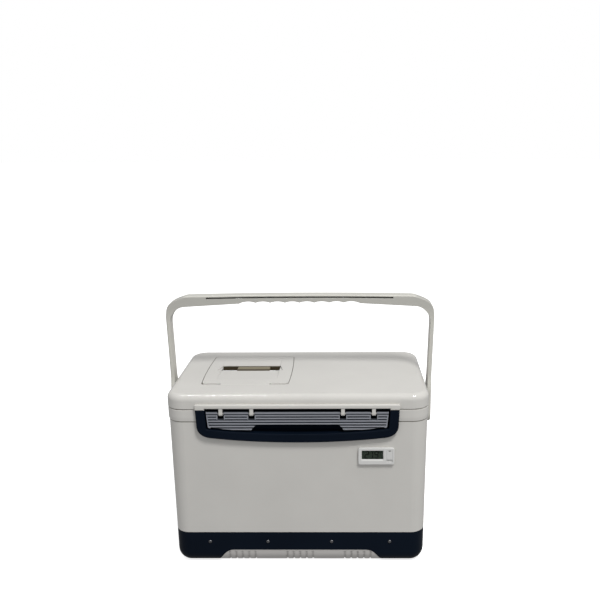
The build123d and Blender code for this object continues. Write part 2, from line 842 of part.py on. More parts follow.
def make_lid_knuckles():
    """Two knuckles on the lid's rear edge that turn between the collar's ears."""
    parts = []
    top = hinge_axis_height + knuckle_rise
    for centre in hinge_centres:
        x0, x1 = centre - knuckle_length / 2, centre + knuckle_length / 2
        arm = block(x0, x1, lid_depth / 2 - lid_wall / 2, hinge_axis_y, lid_edge + seam_round, top)
        nose = rod_x(hinge_barrel, x0, x1, hinge_axis_y, hinge_axis_height)
        nose += block(x0, x1, hinge_axis_y - hinge_barrel / 2, hinge_axis_y + hinge_barrel,
                      hinge_axis_height, lid_edge + hinge_barrel)
        slope = Polyline((x0, hinge_axis_y, lid_edge + hinge_barrel),
                         (x0, hinge_axis_y + hinge_barrel, lid_edge + hinge_barrel),
                         (x0, hinge_axis_y, top), close=True)
        parts.append(arm + nose + extrude(make_face(slope), x1 - x0, dir=(1, 0, 0)))
    return parts


def hatch_socket(radius, half, margin=0.0):
    """The trough in the lid that the hatch's hinge barrel turns in."""
    return rod_x(radius, hatch_x - half - margin, hatch_x + half + margin, hatch_axis_y, hatch_axis_z)


def make_hatch_slit():
    """The open strip in front of the hatch, which its front edge swings through."""
    low_x, high_x = hatch_left - hatch_gap, hatch_right + hatch_gap
    front = hatch_front - hatch_slit
    strip = block(low_x, high_x, front, hatch_front + hatch_corner, total_height - hatch_slit_depth, far)
    return fillet(strip.edges().filter_by(Axis.Z).group_by(Axis.Y)[0], hatch_corner)


def make_lid_shell():
    shell = make_lid_outside(0) - make_lid_outside_core()
    shell += make_lid_lip()
    above_edge = block(-far, far, -far, far, lid_edge, far)
    shell += latch_recess(lid_liner_wall) & make_lid_outside(seat_fit) & above_edge
    shell += extrude(Pos(0, 0, hatch_seat - hatch_wall) * hatch_outline(hatch_gap + hatch_wall),
                     lid_ceiling - hatch_seat + hatch_wall + lid_wall / 2)
    shell += hatch_well(hatch_wall, hatch_well_bottom, hatch_seat)
    cheek = hatch_knuckle_half + hatch_pin_length
    shell += block(hatch_x - cheek, hatch_x + cheek, hatch_axis_y - 2 * hatch_barrel_gap - hatch_axis_drop,
                   hatch_front, hatch_axis_z - hatch_axis_drop - hatch_wall, lid_ceiling + lid_wall / 2)
    shell -= extrude(Pos(0, 0, hatch_seat) * hatch_outline(hatch_gap), far)
    shell -= hatch_well(0, 0, far)
    shell -= hatch_socket(hatch_axis_drop + hatch_barrel_gap, hatch_knuckle_half, knuckle_gap)
    shell -= block(hatch_x - hatch_knuckle_half - knuckle_gap, hatch_x + hatch_knuckle_half + knuckle_gap,
                   hatch_axis_y, hatch_front, hatch_axis_z, far)
    shell -= make_hatch_slit()
    shell -= hatch_socket(hatch_pin_radius + bore_fit, hatch_knuckle_half + hatch_pin_length / 2)
    shell -= latch_recess(0)
    for centre in tab_centres:
        shell += make_lid_tab(centre)
    for knuckle in make_lid_knuckles():
        shell += knuckle
    shell -= rod_x(hinge_pin_radius + pin_play, -far, far, hinge_axis_y, hinge_axis_height)
    return shell - rod_x(lever_pin_radius + bore_fit, -far, far, lever_pin_y, lever_pin_z)


def make_lid_outside_core():
    """The hollow inside the lid's outer shell, open below."""
    core = make_lid_outside(lid_wall)
    return core + slab(lid_width - 2 * lid_wall, lid_depth - 2 * lid_wall, lid_corner - lid_wall, 0,
                       lid_edge + lid_round)


def plug_slab(inset, z0, z1):
    """The lid's plug outline inside the rim, taken in by an inset."""
    width = 2 * (shell_half_width(rim_height - plug_depth) - cavity_inset - plug_gap - inset)
    depth = 2 * (shell_half_depth(rim_height - plug_depth) - cavity_inset - plug_gap - inset)
    return slab(width, depth, liner_corner - inset, z0, z1)


def make_lid_liner():
    plate_low = rim_height + gasket_height + seat_gap
    bottom = rim_height - plug_depth
    inset = lid_wall + foam_fit
    liner = slab(lid_width - 2 * inset, lid_depth - 2 * inset, lid_corner - inset, plate_low,
                 plate_low + lid_liner_wall)
    plug = plug_slab(0, bottom, plate_low)
    liner += fillet(plug.faces().sort_by(Axis.Z)[0].edges(), plug_round)
    liner -= plug_slab(lid_liner_wall, bottom + lid_liner_wall, far)
    liner += hatch_well(hatch_wall, bottom, hatch_well_bottom - seat_gap)
    liner -= hatch_well(0, 0, far)
    return liner - latch_recess(lid_liner_wall + foam_fit)


def make_lid_foam():
    bottom = rim_height - plug_depth + lid_liner_wall + foam_fit
    plate_top = rim_height + seat_gap + gasket_height + lid_liner_wall + foam_fit
    foam = make_lid_outside(lid_wall + foam_fit) - block(-far, far, -far, far, 0, plate_top)
    foam += plug_slab(lid_liner_wall + foam_fit, bottom, plate_top + foam_fit)
    foam -= latch_recess(lid_liner_wall + foam_fit)
    foam -= extrude(Pos(0, 0, hatch_seat - hatch_wall - foam_fit) *
                    hatch_outline(hatch_gap + hatch_wall + foam_fit), far)
    foam -= hatch_well(hatch_wall + foam_fit, 0, far)
    cheek = hatch_knuckle_half + hatch_pin_length + foam_fit
    return foam - block(hatch_x - cheek, hatch_x + cheek,
                        hatch_axis_y - 2 * hatch_barrel_gap - hatch_axis_drop - foam_fit, 0,
                        hatch_axis_z - hatch_axis_drop - hatch_wall - foam_fit, far)


def make_lid_gasket():
    low = rim_height + seat_gap / 2
    width = 2 * (shell_half_width(rim_height) - cavity_inset + gasket_inset)
    depth = 2 * (shell_half_depth(rim_height) - cavity_inset + gasket_inset)
    outer = slab(width + 2 * gasket_width, depth + 2 * gasket_width, liner_corner + gasket_width, low,
                 low + gasket_height)
    return outer - slab(width, depth, liner_corner, 0, far)


def make_hatch_pin(sign):
    middle = hatch_x + sign * hatch_knuckle_half
    return rod_x(hatch_pin_radius, middle - hatch_pin_length / 2, middle + hatch_pin_length / 2,
                 hatch_axis_y, hatch_axis_z)


# ---------------------------------------------------------------- hatch
def grip_box(margin, depth):
    """The finger pocket in the hatch, grown sideways by a margin."""
    return block(hatch_x - grip_half - margin, hatch_x + grip_half + margin, grip_front - margin,
                 grip_rear + margin, total_height - depth, far)


def wedge(y0, z0, y1, z1):
    """A long sloping cut across the grip's width: its floor runs from (y0, z0) to (y1, z1)."""
    x0 = hatch_x - grip_half
    side = Polyline((x0, y0, z0), (x0, y1, z1), (x0, y1, far), (x0, y0, far), close=True)
    return extrude(make_face(side), 2 * grip_half, dir=(1, 0, 0))


def grip_flares():
    """The small three-cornered hollows beside the finger pocket's front corners."""
    cuts = []
    for sign in (-1, 1):
        edge = hatch_x + sign * grip_half
        plan = make_face(Polyline((edge, grip_front), (edge + sign * grip_flare, grip_front),
                                  (edge, grip_rear), close=True))
        cuts.append(extrude(Pos(0, 0, total_height - grip_flare_depth) * plan, far, dir=(0, 0, 1)))
    return cuts


def make_hatch_cover():
    underside = total_height - hatch_plate
    plug_bottom = total_height - hatch_plug_depth + hatch_wall
    cover = extrude(Pos(0, 0, underside) * hatch_outline(0), hatch_plate)
    cover += hatch_well(-hatch_plug_gap, plug_bottom, underside)
    cover -= hatch_well(-hatch_plug_gap - hatch_wall, 0, underside)
    pocket_top = block(-far, far, -far, far, 0, underside + hatch_plate / 2)
    cover += grip_box(hatch_wall, grip_depth + hatch_wall) & pocket_top
    barrel = hatch_socket(hatch_axis_drop, hatch_knuckle_half)
    bridge = block(hatch_x - hatch_knuckle_half, hatch_x + hatch_knuckle_half, hatch_axis_y,
                   hatch_front + hatch_plate / 2, hatch_axis_z, total_height)
    cover += barrel + bridge
    cover -= wedge(ramp_front, total_height, grip_front, total_height - ramp_depth)
    cover -= wedge(grip_rear, total_height - rear_ramp_depth, rear_ramp_end, total_height)
    for flare in grip_flares():
        cover -= flare
    cover -= grip_box(0, grip_depth)
    cover -= hatch_socket(hatch_pin_radius + pin_play, hatch_knuckle_half + cut_over)
    return cover - rod_x(axle_radius + bore_fit, hatch_x - grip_half - hatch_wall / 2,
                         hatch_x + grip_half + hatch_wall / 2, rocker_axis_y, rocker_axis_z)


def make_hatch_liner():
    low = total_height - hatch_plug_depth
    plate = hatch_well(-hatch_plug_gap, low, low + hatch_wall - seat_fit)
    return fillet(plate.faces().sort_by(Axis.Z)[0].edges(), hatch_plug_round)


def make_hatch_foam():
    low = total_height - hatch_plug_depth + hatch_wall + foam_fit
    high = total_height - hatch_plate - foam_fit
    foam = hatch_well(-hatch_plug_gap - hatch_wall - foam_fit, low, high)
    return foam - grip_box(hatch_wall + foam_fit, grip_depth + hatch_wall + foam_fit)


def make_hatch_gasket():
    high = total_height - hatch_plate - seat_fit
    ring = hatch_well(hatch_ledge - hatch_gasket_reach, high - hatch_gasket_height, high)
    return ring - hatch_well(-hatch_gasket_pinch, 0, far)


def make_grip_cup():
    """The dark channel that lines the finger pocket's floor and its front and rear walls."""
    top = block(-far, far, -far, far, 0, total_height - ramp_depth - cup_drop)
    cup = grip_box(-seat_fit, grip_depth - seat_fit) & top
    return cup - block(-far, far, grip_front + cup_wall, grip_rear - cup_wall,
                       total_height - grip_depth + cup_wall, far)


def make_grip_axle():
    reach = grip_half + hatch_wall / 2 - seat_fit
    return rod_x(axle_radius, hatch_x - reach, hatch_x + reach, rocker_axis_y, rocker_axis_z)


def make_grip_rocker():
    """The sprung paddle in the finger pocket: pressed at its front, it lets the hatch go."""
    top = total_height - rocker_drop
    front, rear = grip_front + cup_wall + rocker_swing_gap, grip_rear - cup_wall - rocker_gap
    paddle = block(rocker_x - rocker_half, rocker_x + rocker_half, front, rear, top - rocker_thickness, top)
    rim = paddle.faces().sort_by(Axis.Z)[-1].edges()
    paddle = fillet(rim, rocker_round)
    hub = rod_x(axle_radius + hub_wall, rocker_x - rocker_half, rocker_x + rocker_half, rocker_axis_y,
                rocker_axis_z)
    web = block(rocker_x - rocker_half, rocker_x + rocker_half, rocker_axis_y - axle_radius - hub_wall,
                rocker_axis_y + axle_radius + hub_wall, rocker_axis_z, top - rocker_thickness / 2)
    return paddle + hub + web - rod_x(axle_radius + pin_play, -far, far, rocker_axis_y, rocker_axis_z)


# ---------------------------------------------------------------- swing handle
def handle_outline():
    """The handle seen from the front: two leaning arms and a bar that is deepest at its ends."""
    low = pivot_height - eye_radius - cut_over
    inner_low = handle_half_low - handle_arm
    inner_high = handle_half_high - handle_arm
    outer_shoulder = (handle_half_high, 0, handle_shoulder)
    crown_start = (crown_half, 0, handle_top - handle_crown)
    bend = (inner_high, 0, handle_shoulder - handle_shoulder_step)
    half = Wire([
        Line((handle_half_low, 0, low), (handle_half_low, 0, eye_waist)),
        Line((handle_half_low, 0, eye_waist), outer_shoulder),
        Spline([outer_shoulder, (handle_half_high - handle_corner_in, 0, handle_top - handle_corner_drop),
                (handle_half_high - handle_curve_in, 0, handle_top - handle_curve_drop), crown_start],
               tangents=[(-0.02, 0, 1), (-1, 0, 0.02)]),
    ])
    inner = Wire([
        Line((inner_low, 0, low), (inner_low, 0, eye_waist)),
        Line((inner_low, 0, eye_waist), bend),
        Spline([bend, (inner_high - handle_inner_in, 0, handle_shoulder + handle_inner_rise),
                (bar_end_half, 0, bar_end_bottom)], tangents=[(-0.02, 0, 1), (-1, 0, 0.05)]),
        Line((bar_end_half, 0, bar_end_bottom), (bar_grip_half, 0, bar_mid_bottom)),
    ])
    return make_face(Wire([
        *half.edges(), *mirror(half, about=Plane.YZ).edges(),
        *inner.edges(), *mirror(inner, about=Plane.YZ).edges(),
        Line((inner_low, 0, low), (handle_half_low, 0, low)),
        Line((-inner_low, 0, low), (-handle_half_low, 0, low)),
        ThreePointArc((-crown_start[0], 0, crown_start[2]), (0, 0, handle_top), crown_start),
        Line((-bar_grip_half, 0, bar_mid_bottom), (bar_grip_half, 0, bar_mid_bottom)),
    ]))


def handle_side_outline():
    """The handle seen from the side: a round eye, a wide lower arm and a narrower upper one."""
    half_depth = handle_depth / 2
    right = [
        Line((0, eye_radius, pivot_height), (0, eye_radius, eye_waist)),
        Spline([(0, eye_radius, eye_waist), (0, half_depth, eye_neck)], tangents=[(0, 0, 1), (0, 0, 1)]),
        Line((0, half_depth, eye_neck), (0, half_depth, handle_top + cut_over)),
    ]
    left = [edge for wire in [mirror(Wire(right), about=Plane.XZ)] for edge in wire.edges()]
    return make_face(Wire([
        *right, *left,
        ThreePointArc((0, -eye_radius, pivot_height), (0, 0, pivot_height - eye_radius),
                      (0, eye_radius, pivot_height)),
        Line((0, -half_depth, handle_top + cut_over), (0, half_depth, handle_top + cut_over)),
    ]))


def handle_slot():
    """The shallow arched slot along the bar's faces, seen from the front."""
    end = crown_half - slot_end_in
    middle = handle_top - slot_drop
    half = slot_height / 2
    ends = middle - slot_arch
    return make_face(Wire([
        ThreePointArc((-end, 0, ends + half), (0, 0, middle + half), (end, 0, ends + half)),
        Line((end, 0, ends + half), (end, 0, ends - half)),
        ThreePointArc((end, 0, ends - half), (0, 0, middle - half), (-end, 0, ends - half)),
        Line((-end, 0, ends - half), (-end, 0, ends + half)),
    ]))


def make_handle_bail():
    front = extrude(Pos(0, -eye_radius, 0) * handle_outline(), 2 * eye_radius, dir=(0, 1, 0))
    side = extrude(Pos(-far, 0, 0) * handle_side_outline(), 2 * far, dir=(1, 0, 0))
    bail = front & side
    crown = [edge for edge in bail.edges() if edge.center().Z > handle_top - handle_crown
             and edge.length > crown_half]
    bail = chamfer(crown, handle_edge)
    for index in range(grip_grooves):
        x = (index - (grip_grooves - 1) / 2) * grip_groove_pitch
        bail -= rod_y(groove_radius, -eye_radius, eye_radius, x, grip_groove_top - groove_radius)
    for sign in (-1, 1):
        start = sign * (handle_depth / 2 - slot_depth)
        bail -= extrude(Pos(0, start, 0) * handle_slot(), far, dir=(0, sign, 0))
    for sign in (-1, 1):
        bail -= rod_x(pivot_pin_radius + pin_play, sign * boss_radius, sign * far, 0, pivot_height)
        seat = sign * (handle_half_low - pivot_head_height)
        bail -= rod_x(pivot_head_radius + pivot_head_gap, seat, sign * far, 0, pivot_height)
    return bail


def make_pivot_pin(sign):
    """A headed pin, fixed in the side wall, that the handle's eye turns on."""
    inner = pivot_wall - shell_wall - pivot_root
    seat = handle_half_low - pivot_head_height + pivot_seat_gap
    face = seat + pivot_head_height
    dome_radius = (pivot_head_radius ** 2 + pivot_dome ** 2) / (2 * pivot_dome)
    half_way = pivot_head_radius / 2
    dome_x = face + pivot_dome - dome_radius + sqrt(dome_radius ** 2 - half_way ** 2)
    profile = make_face(Wire([
        Line((inner, 0, 0), (inner, 0, pivot_pin_radius)),
        Line((inner, 0, pivot_pin_radius), (seat, 0, pivot_pin_radius)),
        Line((seat, 0, pivot_pin_radius), (seat, 0, pivot_head_radius)),
        Line((seat, 0, pivot_head_radius), (face, 0, pivot_head_radius)),
        ThreePointArc((face, 0, pivot_head_radius), (dome_x, 0, half_way), (face + pivot_dome, 0, 0)),
        Line((face + pivot_dome, 0, 0), (inner, 0, 0)),
    ]))
    pin = Pos(0, 0, pivot_height) * revolve(profile, Axis.X)
    return pin if sign > 0 else mirror(pin, about=Plane.YZ)


def make_pivot_washer(sign):
    start = sign * (boss_face + seat_fit)
    end = start + sign * washer_thickness
    washer = rod_x(washer_radius, start, end, 0, pivot_height)
    return washer - rod_x(pivot_pin_radius + pin_play, -far, far, 0, pivot_height)


# ---------------------------------------------------------------- thermometer
def meter_face(depth):
    """A y just outside the front wall at the thermometer, further out by a depth."""
    return -shell_half_depth(meter_z + meter_height / 2) - seat_fit - depth


def battery_box(margin, deep):
    """The shallow recess in the bezel that the battery door slides in."""
    half_w = battery_width / 2 + margin
    x = meter_x + battery_x
    low, high = battery_z - battery_height / 2 - margin, battery_z + battery_height / 2 + margin
    return block(x - half_w, x + half_w, -far, meter_face(meter_proud - deep), low, high)


def window_box(margin, near, deep):
    """The window's outline grown by a margin, between two faces."""
    return block(window_x - margin, window_x + window_width + margin, near, deep, window_low - margin,
                 window_high + margin)


def window_funnel():
    """The sloping sides of the window: wide below it and narrow beside it."""
    face = meter_face(meter_proud + cut_over)
    floor = meter_face(meter_proud - window_depth)
    spread = (window_depth + cut_over) / window_depth
    side = window_side_bevel * spread
    low = window_bevel * spread
    x = window_x + window_width / 2
    z = (window_low + window_high) / 2
    near = Plane((x, face, z + (side - low) / 2), x_dir=(1, 0, 0), z_dir=(0, -1, 0))
    deep = Plane((x, floor, z), x_dir=(1, 0, 0), z_dir=(0, -1, 0))
    wide = near * Rectangle(window_width + 2 * side, window_height + low + side)
    return loft([wide, deep * Rectangle(window_width, window_height)])


def make_meter_bezel():
    half_w, half_h = meter_width / 2, meter_height / 2
    bezel = block(meter_x - half_w, meter_x + half_w, meter_face(meter_proud), meter_face(-skirt_wall),
                  meter_z - half_h, meter_z + half_h)
    bezel = fillet(bezel.edges().filter_by(Axis.Y), meter_corner)
    bezel = fillet(bezel.faces().sort_by(Axis.Y)[0].edges(), meter_edge)
    bezel -= make_shell_envelope(seat_fit)
    bezel -= window_funnel()
    bezel -= window_box(lens_lap + lens_play, meter_face(meter_proud - window_depth), meter_face(lens_play))
    track = battery_box(battery_gap, battery_sink + battery_thickness + seat_fit)
    bezel -= track
    bezel -= Pos(0, 0, -battery_travel) * track
    for sign in (-1, 1):
        leg_x = meter_x + battery_x + sign * door_leg_x
        bezel -= block(leg_x - door_leg_half, leg_x + door_leg_half, -far,
                       meter_face(meter_proud - battery_sink - battery_thickness - door_leg_depth),
                       battery_z - battery_height / 2 - battery_travel, battery_z - battery_cell_radius)
    return bezel - rod_y(battery_cell_radius + battery_gap, meter_face(meter_proud), meter_face(-cut_over),
                         meter_x + battery_x, battery_z)


def make_meter_module():
    """The thermometer's closed case behind the front wall."""
    half_w = module_width / 2 - foam_fit
    half_h = module_height / 2 - foam_fit
    front = seat_fit - shell_half_depth(meter_z - meter_height / 2)
    return block(meter_x - half_w, meter_x + half_w, front, module_depth - shell_half_depth(meter_z),
                 meter_z - half_h, meter_z + half_h)


def make_meter_lens():
    face = meter_face(meter_proud - window_depth) + lens_play
    return window_box(lens_lap, face, face + lens_thickness)


def make_display():
    face = meter_face(meter_proud - window_depth) + lens_thickness + 2 * lens_play
    return window_box(display_lap, face, meter_face(2 * lens_play))


def make_battery_door():
    """The sliding door over the cell, with a notch for a fingernail at its top."""
    x = meter_x + battery_x
    face = meter_face(meter_proud - battery_sink)
    top = battery_z + battery_height / 2
    door = block(x - battery_width / 2, x + battery_width / 2, face, face + battery_thickness,
                 battery_z - battery_height / 2, top)
    left, right = x - door_notch_half, x + door_notch_half
    notch = make_face(Wire([
        Line((left, 0, top + cut_over), (right, 0, top + cut_over)),
        Line((right, 0, top + cut_over), (right, 0, top)),
        ThreePointArc((right, 0, top), (x, 0, top - door_notch_height), (left, 0, top)),
        Line((left, 0, top), (left, 0, top + cut_over)),
    ]))
    return door - extrude(Pos(0, face + door_notch_depth, 0) * notch, far, dir=(0, -1, 0))


def make_button_cell():
    start = meter_face(meter_proud - battery_sink - battery_thickness) + cell_play
    return rod_y(battery_cell_radius, start, meter_face(0) - cell_play / 2, meter_x + battery_x, battery_z)


def make_sensor():
    back = module_depth - shell_half_depth(meter_z)
    tip = cavity_inset + sensor_stickout - shell_half_depth(meter_z)
    sensor = rod_y(sensor_radius, back, tip, meter_x, meter_z)
    return chamfer(sensor.edges().sort_by(Axis.Y)[-1], sensor_round / 2)


def make_sensor_sleeve():
    back = module_depth + seat_fit - shell_half_depth(meter_z)
    end = cavity_inset + sensor_sleeve_reach - shell_half_depth(meter_z)
    sleeve = rod_y(sensor_sleeve_radius, back, end, meter_x, meter_z)
    return sleeve - rod_y(sensor_radius + bore_fit, -far, far, meter_x, meter_z)


parts = {
    "base_skirt": make_base_skirt,
    "foot_rail_front": lambda: make_foot_rail(-1),
    "foot_rail_rear": lambda: make_foot_rail(1),
    "base_screws": make_base_screws,
    "outer_shell": make_outer_shell,
    "foam_core": make_foam_core,
    "inner_liner": make_inner_liner,
    "rim_collar": make_rim_collar,
    "lid_hinge_pin_left": lambda: make_hinge_pin(hinge_centres[0]),
    "lid_hinge_pin_right": lambda: make_hinge_pin(hinge_centres[1]),
    "latch_frame": make_latch_frame,
    "handle_pivot_pin_left": lambda: make_pivot_pin(-1),
    "handle_pivot_pin_right": lambda: make_pivot_pin(1),
    "pivot_washer_left": lambda: make_pivot_washer(-1),
    "pivot_washer_right": lambda: make_pivot_washer(1),
    "thermometer_bezel": make_meter_bezel,
    "thermometer_module": make_meter_module,
    "thermometer_lens": make_meter_lens,
    "thermometer_display": make_display,
    "button_cell": make_button_cell,
    "sensor_probe": make_sensor,
    "sensor_sleeve": make_sensor_sleeve,
    "battery_door": make_battery_door,
    "handle_bail": make_handle_bail,
    "lid_shell": make_lid_shell,
    "lid_foam": make_lid_foam,
    "lid_liner": make_lid_liner,
    "lid_gasket": make_lid_gasket,
    "latch_lever_pin": make_lever_pin,
    "hatch_pin_left": lambda: make_hatch_pin(-1),
    "hatch_pin_right": lambda: make_hatch_pin(1),
    "latch_lever": make_latch_lever,
    "hatch_cover": make_hatch_cover,
    "hatch_foam": make_hatch_foam,
    "hatch_liner": make_hatch_liner,
    "hatch_gasket": make_hatch_gasket,
    "grip_cup": make_grip_cup,
    "grip_axle": make_grip_axle,
    "grip_rocker": make_grip_rocker,
}

for name, make in parts.items():
    write(name, make())
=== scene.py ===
"""Looks of an insulated vaccine carrier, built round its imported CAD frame. Metres, Z up."""
import math

import bpy
from mathutils import Matrix, Vector


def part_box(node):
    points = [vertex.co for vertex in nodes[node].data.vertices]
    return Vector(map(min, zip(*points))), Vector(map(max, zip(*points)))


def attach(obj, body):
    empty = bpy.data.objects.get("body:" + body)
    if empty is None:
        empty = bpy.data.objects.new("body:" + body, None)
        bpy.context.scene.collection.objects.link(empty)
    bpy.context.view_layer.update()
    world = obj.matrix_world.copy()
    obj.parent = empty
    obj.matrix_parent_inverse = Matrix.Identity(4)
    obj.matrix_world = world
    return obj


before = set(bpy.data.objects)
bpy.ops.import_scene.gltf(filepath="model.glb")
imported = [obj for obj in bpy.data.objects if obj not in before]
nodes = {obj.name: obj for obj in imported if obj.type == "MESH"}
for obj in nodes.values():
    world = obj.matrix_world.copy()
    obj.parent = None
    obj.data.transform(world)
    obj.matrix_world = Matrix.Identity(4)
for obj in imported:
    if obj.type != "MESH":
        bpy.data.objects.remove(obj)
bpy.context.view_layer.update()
MM = 0.001


# ---------------------------------------------------------------- node helpers
def scaled(colour, factor):
    """A colour made lighter or darker."""
    return tuple(min(1.0, channel * factor) for channel in colour)


def opaque(colour):
    """A colour with full alpha, as a socket takes it."""
    return (*colour, 1.0)


class NodeTree:
    """The emptied node tree of a material or a world, with short calls that add and link nodes."""

    def __init__(self, owner):
        owner.use_nodes = True
        self.tree = owner.node_tree
        self.tree.nodes.clear()
        self.place = self.add("ShaderNodeTexCoord")

    def add(self, kind, **values):
        """A new node with its properties or input values set by name."""
        node = self.tree.nodes.new(kind)
        for key, value in values.items():
            if hasattr(node, key):
                setattr(node, key, value)
            else:
                node.inputs[key].default_value = value
        return node

    def join(self, output, socket):
        """A link from an output to an input."""
        self.tree.links.new(output, socket)

    def axis(self, space, name):
        """The X, Y or Z of the shaded place, in one of the coordinate spaces."""
        split = self.add("ShaderNodeSeparateXYZ")
        self.join(self.place.outputs[space], split.inputs["Vector"])
        return split.outputs[name]

    def span(self, output, source, target=(0.0, 1.0)):
        """A value from one range mapped to another, held at its ends."""
        mapped = self.add("ShaderNodeMapRange")
        for name, value in zip(("From Min", "From Max", "To Min", "To Max"), (*source, *target)):
            mapped.inputs[name].default_value = value
        self.join(output, mapped.inputs["Value"])
        return mapped.outputs["Result"]

    def ramp(self, output, stops):
        """A colour ramp over a value; stops are (position, colour) pairs."""
        ramp = self.add("ShaderNodeValToRGB")
        elements = ramp.color_ramp.elements
        while len(elements) < len(stops):
            elements.new(0.5)
        for element, (position, colour) in zip(elements, stops):
            element.position = position
            element.color = opaque(colour)
        self.join(output, ramp.inputs["Fac"])
        return ramp.outputs["Color"]

    def mix(self, factor, output, colour):
        """A colour output mixed towards a fixed colour by a factor output."""
        mixer = self.add("ShaderNodeMix", data_type="RGBA")
        first, second = [socket for socket in mixer.inputs if socket.type == "RGBA"]
        self.join(output, first)
        second.default_value = opaque(colour)
        self.join(factor, mixer.inputs["Factor"])
        return [socket for socket in mixer.outputs if socket.type == "RGBA"][0]


class Shader(NodeTree):
    """A material with one principled surface."""

    def __init__(self, name):
        self.material = bpy.data.materials.new(name)
        super().__init__(self.material)
        self.surface = self.add("ShaderNodeBsdfPrincipled")
        output = self.add("ShaderNodeOutputMaterial")
        self.join(self.surface.outputs["BSDF"], output.inputs["Surface"])

    def fix(self, name, value):
        """A setting that is the same all over the surface."""
        self.surface.inputs[name].default_value = value

    def follow(self, name, output):
        """A setting that follows a node's output."""
        self.join(output, self.surface.inputs[name])

    def noise(self, scale, detail=3.0, roughness=0.55, stretch=None):
        """A noise pattern in object space; scale is in cycles per metre."""
        pattern = self.add("ShaderNodeTexNoise", Scale=scale, Detail=detail, Roughness=roughness)
        place = self.place.outputs["Object"]
        if stretch:
            mapping = self.add("ShaderNodeMapping", Scale=stretch)
            self.join(place, mapping.inputs["Vector"])
            place = mapping.outputs["Vector"]
        self.join(place, pattern.inputs["Vector"])
        return pattern.outputs["Fac"]

    def drifting(self, colour, tone, scale, detail):
        """A colour that drifts a little darker and lighter."""
        shades = [scaled(colour, 1 - tone), scaled(colour, 1 + tone)]
        return self.ramp(self.noise(scale, detail=detail), list(zip(DRIFT_STOPS, shades)))

    def height_band(self, foot, low, high, top):
        """A value along the piece's own Z axis: 0 below foot, 1 from low to high, 0 above top."""
        height = self.axis("Object", "Z")
        both = self.add("ShaderNodeMath", operation="MULTIPLY")
        self.join(self.span(height, (foot, low)), both.inputs[0])
        self.join(self.span(height, (high, top), (1.0, 0.0)), both.inputs[1])
        return both.outputs["Value"]

    def vary_roughness(self, pattern, rough):
        """Roughness that goes between two values with a pattern."""
        self.follow("Roughness", self.span(pattern, (0.0, 1.0), rough))

    def relief(self, pattern, strength, depth):
        """Fine bumps that follow a pattern."""
        bump = self.add("ShaderNodeBump", Strength=strength, Distance=depth)
        self.join(pattern, bump.inputs["Height"])
        self.follow("Normal", bump.outputs["Normal"])
        return bump


# ---------------------------------------------------------------- kinds of material
# Scales are in cycles per metre, depths in metres. Stops are places on a colour ramp, and shades
# are factors on a colour.
DRIFT_STOPS = (0.30, 0.70)
TONE_SCALE = 9.0
WEAR_SCALE = 70.0
GRAIN_SCALE = 1400.0
GRAIN_DEPTH = 0.2 * MM
# Samples of the ambient occlusion that places grime and painted shade in seams and hollows.
GRIME_AND_SHADE_SAMPLES = 8
EDGE_SAMPLES = 6
PLASTIC_IOR = 1.49

STAIN_SCALE = 260.0
STAIN_STOPS = (0.25, 0.60)
STAIN_SHADE = 0.75
BRUSH_SCALE = 4000.0
BRUSH_STRETCH = (0.1, 1.0, 1.0)
BRUSH_DEPTH = 0.05 * MM

CELL_SCALE = 900.0
CELL_STOPS = (0.0, 0.5)
CELL_SHADE = 0.8
CELL_DEPTH = 0.4 * MM

BLOOM_SCALE = 120.0
BLOOM_STOPS = (0.35, 0.75)
BLOOM_SHADE = 1.6
RUBBER_GRAIN_SCALE = 2500.0
RUBBER_GRAIN_DEPTH = 0.1 * MM

SMEAR_SCALE = 300.0
WINDOW_ALPHA = 0.04


def moulded_plastic(name, colour, rough, grain, tone=0.03, gloss=0.5, grime_and_shade=None, grime_and_shade_reach=3 * MM,
                    grime_and_shade_start=0.62, edge=0.35 * MM, depth_shade=None, depth_shade_span=None, shade_bands=()):
    """Injection-moulded plastic: faint tone drift, fine grain, soft edges, and grime with painted
    shade in the seams and hollows, where ambient occlusion darkens the colour.

    The optional colour further in from the front, reached over a span of the piece's own Y axis, is a
    painted shade ramp: darker in recesses such as the lever's grooves and the door's notch, and on
    the grip rocker lighter behind the painted shadow at its front. The optional bands are (heights,
    colour) pairs along its Z axis that paint shadow and shade.
    """
    shader = Shader(name)
    base = shader.drifting(colour, tone, TONE_SCALE, detail=4.0)
    # Painted shade by depth: the colour changes along the piece's own Y axis, darker in recesses
    # behind the front face, and on the rocker out of a painted shadow at its front.
    if depth_shade is not None:
        base = shader.mix(shader.span(shader.axis("Object", "Y"), depth_shade_span), base, depth_shade)
    # Painted shadow and shade in bands along the piece's own Z axis.
    for heights, shade in shade_bands:
        base = shader.mix(shader.height_band(*heights), base, shade)
    # Grime and painted shade: ambient occlusion darkens the colour in seams and hollows towards the
    # given colour.
    if grime_and_shade is not None:
        hollow = shader.add("ShaderNodeAmbientOcclusion", Distance=grime_and_shade_reach, samples=GRIME_AND_SHADE_SAMPLES)
        base = shader.mix(shader.span(hollow.outputs["AO"], (grime_and_shade_start, 0.0)), base, grime_and_shade)
    shader.follow("Base Color", base)
    shader.vary_roughness(shader.noise(WEAR_SCALE, detail=6.0, roughness=0.65), rough)
    soft_edge = shader.add("ShaderNodeBevel", Radius=edge, samples=EDGE_SAMPLES)
    bump = shader.relief(shader.noise(GRAIN_SCALE, detail=2.0, roughness=0.5), grain, GRAIN_DEPTH)
    shader.join(soft_edge.outputs["Normal"], bump.inputs["Normal"])
    shader.fix("IOR", PLASTIC_IOR)
    shader.fix("Specular IOR Level", gloss)
    return shader.material


